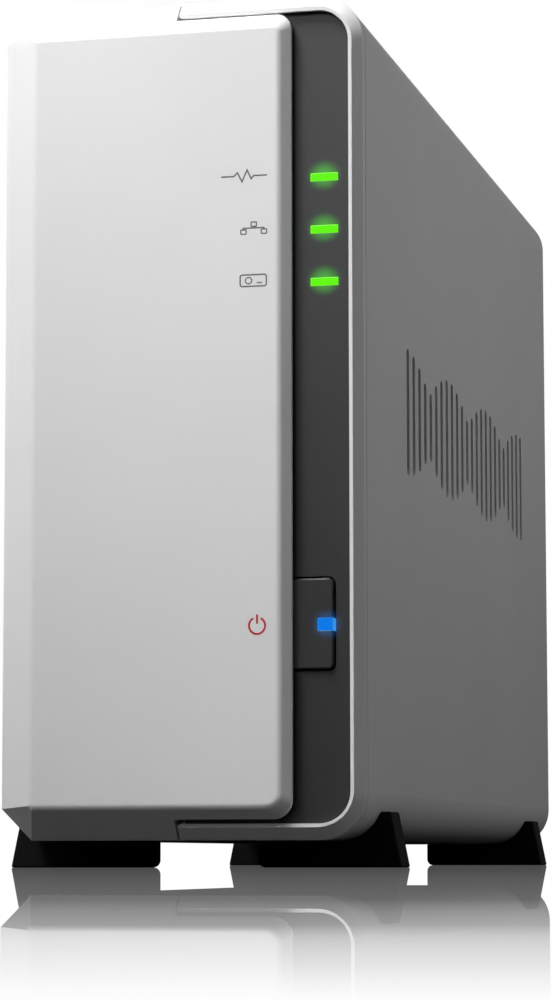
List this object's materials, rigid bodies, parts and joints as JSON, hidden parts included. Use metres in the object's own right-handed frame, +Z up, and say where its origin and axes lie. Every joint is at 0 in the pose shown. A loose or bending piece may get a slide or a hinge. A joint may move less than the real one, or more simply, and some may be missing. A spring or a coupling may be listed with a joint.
{
  "type": "network attached storage",
  "caption": "Upright desktop network storage box: white front plate, dark indicator strip with lights and power button, sliding side cover, rear fan and sockets, sealed drive inside.",
  "frame": {"origin": "bottom centre of the overall box, on the plane that the four feet stand on", "axes": "+Z up, -Y towards the front plate and its lights, +X towards the sliding side cover"},
  "size_m": [0.0782, 0.224, 0.166],
  "materials": {
    "front_white": "satin moulded front plate",
    "frame_white": "satin moulded frame",
    "shell_white": "fine satin white moulded plastic",
    "panel_black": "smooth black plastic",
    "light_green": "translucent light guide, lit",
    "light_blue": "translucent light guide, lit",
    "dark_plastic": "black moulded plastic",
    "rear_grey": "textured grey plastic",
    "foot_rubber": "black rubber",
    "board_green": "solder-masked circuit board",
    "chip_black": "moulded chip package",
    "lamp_clear": "surface lamp",
    "heat_sink_metal": "extruded aluminium",
    "socket_metal": "nickel-plated sheet",
    "red_plastic": "plunger plastic",
    "drive_cast": "cast and machined aluminium",
    "drive_steel": "stamped lid",
    "bracket_steel": "zinc-plated sheet steel",
    "screw_steel": "nickel-plated screw",
    "coil_copper": "enamelled winding"
  },
  "bodies": {
    "chassis": {"bracket_screws": "screw_steel", "capacitors": "heat_sink_metal", "drive_board": "board_green", "drive_bracket_lower": "bracket_steel", "drive_bracket_upper": "bracket_steel", "drive_casting": "drive_cast", "drive_lid": "drive_steel", "drive_plug": "dark_plastic", "drive_screws_lower": "screw_steel", "drive_screws_upper": "screw_steel", "drive_socket": "dark_plastic", "fan_frame": "dark_plastic", "fan_screws": "screw_steel", "fan_stator": "coil_copper", "flash_chip": "chip_black", "foot_front_left": "foot_rubber", "foot_rear_left": "foot_rubber", "front_frame": "frame_white", "front_plate": "front_white", "heat_sink": "heat_sink_metal", "indicator_board": "board_green", "indicator_board_screws": "screw_steel", "indicator_panel": "panel_black", "lan_socket": "socket_metal", "left_shell": "shell_white", "light_guide_1": "light_green", "light_guide_2": "light_green", "light_guide_3": "light_green", "mainboard": "board_green", "mainboard_screws": "screw_steel", "memory_chip_1": "chip_black", "memory_chip_2": "chip_black", "power_lamp": "lamp_clear", "power_socket": "dark_plastic", "power_switch": "dark_plastic", "processor": "chip_black", "rear_panel": "rear_grey", "reset_carrier": "board_green", "reset_switch": "dark_plastic", "status_lamp_1": "lamp_clear", "status_lamp_2": "lamp_clear", "status_lamp_3": "lamp_clear", "usb_socket_lower": "socket_metal", "usb_socket_upper": "socket_metal"},
    "cover": {"cover": "shell_white", "vent_louvre": "dark_plastic", "foot_front_right": "foot_rubber", "foot_rear_right": "foot_rubber", "cover_screws": "screw_steel"},
    "power_button": {"power_button": "panel_black", "button_lens": "light_blue"},
    "fan_rotor": {"fan_rotor": "dark_plastic"},
    "reset_plunger": {"reset_plunger": "red_plastic"}
  },
  "joints": [
    {"name": "cover_slide", "type": "slide", "parent": "chassis", "child": "cover", "axis": [0, 1, 0], "range_m": [0, 0.015]},
    {"name": "power_button_press", "type": "slide", "parent": "chassis", "child": "power_button", "axis": [0, 1, 0], "range_m": [0, 0.0008], "stiffness_N_per_m": 1500, "springref_m": -0.0003},
    {"name": "fan_spin", "type": "hinge", "parent": "chassis", "child": "fan_rotor", "pos_m": [-0.003, 0.096, 0.108], "axis": [0, 1, 0], "continuous": true},
    {"name": "reset_press", "type": "slide", "parent": "chassis", "child": "reset_plunger", "axis": [0, -1, 0], "range_m": [0, 0.0003], "stiffness_N_per_m": 1500, "springref_m": -0.0003}
  ]
}
